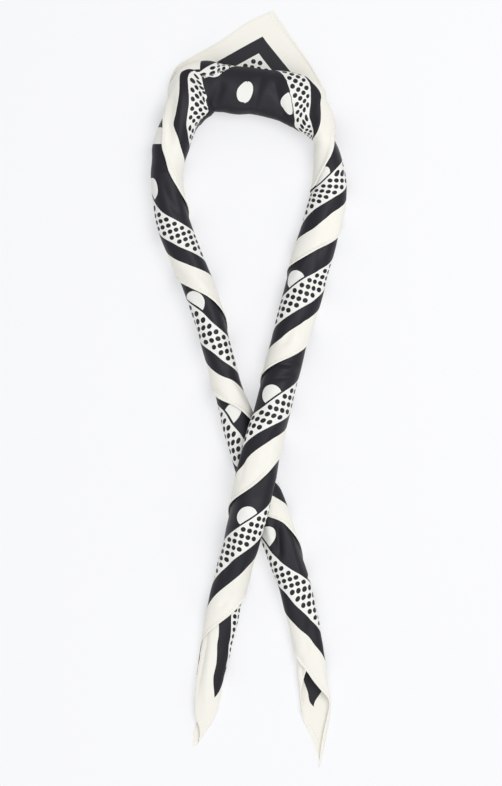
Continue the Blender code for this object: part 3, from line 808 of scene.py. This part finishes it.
def sheet_mesh(name, grid, material):
    """A grid of points as a smooth piece, with its place in the cut as a map."""
    points, across, cloth = grid
    rows, columns = cloth.shape
    index = np.arange(rows * columns).reshape(rows, columns)
    quads = np.stack([index[:-1, :-1], index[:-1, 1:], index[1:, 1:], index[1:, :-1]], axis=-1)
    quads = quads.reshape(-1, 4)
    mesh = bpy.data.meshes.new(name)
    mesh.from_pydata((points.reshape(-1, 3) * MM).tolist(), [], quads.tolist())
    flat = np.stack([across.reshape(-1), cloth.reshape(-1)], axis=-1) * MM
    layer = mesh.uv_layers.new(name="cut")
    corner = np.empty(len(mesh.loops), dtype=np.int32)
    mesh.loops.foreach_get("vertex_index", corner)
    layer.data.foreach_set("uv", flat[corner].reshape(-1))
    mesh.materials.append(material)
    mesh.update()
    piece = bpy.data.objects.new(name, mesh)
    bpy.context.collection.objects.link(piece)
    mesh.shade_smooth()
    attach(piece, "root")
    return piece


class Nodes:
    """Short ways to add nodes to a material."""

    def __init__(self, tree):
        self.tree = tree

    def new(self, kind, **settings):
        node = self.tree.nodes.new(kind)
        for key, value in settings.items():
            setattr(node, key, value)
        return node

    def put(self, socket, value):
        if isinstance(value, bpy.types.NodeSocket):
            self.tree.links.new(value, socket)
        else:
            socket.default_value = value

    def math(self, operation, a, b=0.0, c=0.0):
        node = self.new("ShaderNodeMath", operation=operation)
        for socket, value in zip(node.inputs, (a, b, c)):
            self.put(socket, value)
        return node.outputs[0]

    def mix(self, share, a, b):
        node = self.new("ShaderNodeMix", data_type="RGBA")
        self.put(node.inputs["Factor"], share)
        self.put(node.inputs[6], a)
        self.put(node.inputs[7], b)
        return node.outputs[2]

    def less(self, a, b):
        return self.math("LESS_THAN", a, b)

    def both(self, a, b):
        return self.math("MULTIPLY", a, b)

    def either(self, a, b):
        return self.math("MAXIMUM", a, b)

    def snapped(self, value, step, shift):
        """The middle of the lattice cell that the value lies in."""
        moved = self.math("SUBTRACT", value, shift)
        cell = self.math("FLOOR", self.math("DIVIDE", moved, step))
        return self.math("ADD", self.math("MULTIPLY", cell, step), shift + step / 2)

    def dot(self, across, up, step, shift, radius):
        """1 inside the dots of a lattice, with the middles of the nearest one."""
        at_u = self.snapped(across, step[0], shift[0])
        at_v = self.snapped(up, step[1], shift[1])
        du = self.math("SUBTRACT", across, at_u)
        dv = self.math("SUBTRACT", up, at_v)
        far = self.math("SQRT", self.math("ADD", self.math("MULTIPLY", du, du),
                                          self.math("MULTIPLY", dv, dv)))
        return self.less(far, radius), at_u, at_v

    def from_edge(self, across, up):
        """Distance from the nearest edge of the cut."""
        reach = self.math("SUBTRACT", HALF_EDGE, self.math("ABSOLUTE", across))
        cloth = self.math("SUBTRACT", self.math("MULTIPLY", reach, EDGE_RISE), up)
        return self.math("MINIMUM", self.math("MULTIPLY", cloth, EDGE_COS), up)


def printed(n, across, up, edge):
    """Colour of the print: border bands, small dots in one of them and big dots in the field."""
    cream_band = n.less(edge, BAND_CREAM)
    dotted_band = n.both(n.less(BAND_BLACK, edge), n.less(edge, BAND_DOTTED))
    small, small_u, small_v = n.dot(across, up, (SMALL_STEP_U, SMALL_STEP_V),
                                    (0.0, SMALL_SHIFT_V), SMALL_RADIUS)
    small_edge = n.from_edge(small_u, small_v)
    small = n.both(small, n.both(n.less(SMALL_FIRST, small_edge), n.less(small_edge, SMALL_LAST)))
    big, _, _ = n.dot(across, up, (BIG_STEP_U, BIG_STEP_V),
                      (-BIG_STEP_U / 2, BIG_SHIFT_V - BIG_STEP_V / 2), BIG_RADIUS)
    big = n.both(big, n.less(BAND_LINE, edge))
    white = n.both(dotted_band, n.math("SUBTRACT", 1.0, small))
    light = n.either(cream_band, n.either(white, big))
    return n.mix(light, BLACK, n.mix(cream_band, WHITE, CREAM))


def stitched(n, across, edge, colour):
    """The same with the thread of the hem's stitches over it."""
    run = n.math("FRACT", n.math("DIVIDE", across, STITCH_STEP))
    seam = n.both(n.less(SEAM_FIRST, edge), n.less(edge, SEAM_LAST))
    stitch = n.both(seam, n.less(run, STITCH_SHARE))
    return n.mix(n.math("MULTIPLY", stitch, THREAD_SHARE), colour, THREAD)


def woven(n, cut, edge):
    """Normal of the weave, with the hem standing higher."""
    stretched = n.new("ShaderNodeVectorMath", operation="MULTIPLY")
    n.put(stretched.inputs[0], cut)
    stretched.inputs[1].default_value = WEAVE
    grain = n.new("ShaderNodeTexNoise")
    n.put(grain.inputs["Vector"], stretched.outputs[0])
    grain.inputs["Scale"].default_value = 1.0
    grain.inputs["Detail"].default_value = 3.0
    inside = n.math("MULTIPLY", n.less(SEAM_LAST, edge), -HEM_RAISED)
    bump = n.new("ShaderNodeBump")
    bump.inputs["Strength"].default_value = 0.12
    bump.inputs["Distance"].default_value = 0.0004
    n.put(bump.inputs["Height"], n.math("ADD", grain.outputs["Fac"], inside))
    return bump.outputs["Normal"]


def satin():
    """The printed satin, worked out from the place in the cut."""
    material = bpy.data.materials.new("scarf_satin")
    material.use_nodes = True
    tree = material.node_tree
    n = Nodes(tree)
    shader = tree.nodes["Principled BSDF"]
    cut = n.new("ShaderNodeUVMap", uv_map="cut").outputs[0]
    parts = n.new("ShaderNodeSeparateXYZ")
    n.put(parts.inputs[0], cut)
    across = n.math("MULTIPLY", parts.outputs[0], 1.0 / MM)
    cloth = n.math("MULTIPLY", parts.outputs[1], 1.0 / MM)
    reach = n.math("SUBTRACT", HALF_EDGE, n.math("ABSOLUTE", across))
    up = n.math("SUBTRACT", n.math("MULTIPLY", reach, EDGE_RISE), cloth)
    edge = n.from_edge(across, up)

    colour = stitched(n, across, edge, printed(n, across, up, edge))
    n.put(shader.inputs["Base Color"], colour)
    shader.inputs["Roughness"].default_value = 0.5
    shader.inputs["Specular IOR Level"].default_value = 0.3
    shader.inputs["Sheen Weight"].default_value = 0.06
    shader.inputs["Sheen Roughness"].default_value = 0.4
    n.put(shader.inputs["Normal"], woven(n, cut, edge))
    return material


def build():
    """Every stretch of the roll and the open corner, each a sheet on its own solid."""
    material = satin()
    pieces = []
    for name, first, last in STRETCHES:
        piece = sheet_mesh(name + "_cloth", roll_grid(first, last, name in UPPER_STRAND), material)
        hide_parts(name)
        pieces.append(piece)
    flap = sheet_mesh("apex_flap_cloth", flap_grid(), material)
    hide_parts("apex_flap")
    pieces.append(flap)
    for piece in pieces:
        declare(piece)


def declare(piece):
    """Read the places in the cut at the corners of a piece's faces, four to a face; nothing more is
    done with them.
    """
    mesh = piece.data
    spots = np.empty(len(mesh.loops) * 2)
    mesh.uv_layers["cut"].data.foreach_get("uv", spots)
    spots = spots.reshape(-1, 4, 2)


def lay_floor():
    """A pale plain surface just under the cloth."""
    mesh = bpy.data.meshes.new("floor")
    corners = [(x * FLOOR_SIDE, y * FLOOR_SIDE, -FLOOR_DROP)
               for x, y in ((-1, -1), (1, -1), (1, 1), (-1, 1))]
    mesh.from_pydata(corners, [], [(0, 1, 2, 3)])
    piece = bpy.data.objects.new("floor", mesh)
    bpy.context.collection.objects.link(piece)
    material = bpy.data.materials.new("floor_paper")
    material.use_nodes = True
    shader = material.node_tree.nodes["Principled BSDF"]
    shader.inputs["Base Color"].default_value = (0.42, 0.42, 0.43, 1.0)
    shader.inputs["Roughness"].default_value = 0.9
    shader.inputs["Emission Color"].default_value = (0.985, 0.99, 1.0, 1.0)
    shader.inputs["Emission Strength"].default_value = 0.505
    mesh.materials.append(material)


def set_lights():
    """A soft surround and two round lamps that point at the middle of the surface."""
    world = bpy.data.worlds.new("studio")
    world.use_nodes = True
    world.node_tree.nodes["Background"].inputs["Color"].default_value = (0.97, 0.98, 1.0, 1.0)
    world.node_tree.nodes["Background"].inputs["Strength"].default_value = 0.58
    bpy.context.scene.world = world
    for name, spot, size, power in LAMPS:
        light = bpy.data.lights.new(name, "AREA")
        light.shape = "DISK"
        light.size = size
        light.energy = power
        lamp = bpy.data.objects.new(name, light)
        lamp.location = spot
        x, y, z = spot
        lamp.rotation_euler = (0.0, math.atan2(math.hypot(x, y), z), math.atan2(y, x))
        bpy.context.collection.objects.link(lamp)


def set_camera():
    """The camera straight above, far enough away for an almost flat view."""
    data = bpy.data.cameras.new("camera")
    eye = bpy.data.objects.new("camera", data)
    eye.location = (*VIEW_MIDDLE, CAMERA_HEIGHT)
    data.sensor_width = SENSOR
    data.lens = SENSOR * CAMERA_HEIGHT / VIEW_LONG
    data.clip_end = 20.0
    bpy.context.collection.objects.link(eye)
    bpy.context.scene.camera = eye
    bpy.context.scene.view_settings.view_transform = "Standard"


build()
lay_floor()
set_lights()
set_camera()
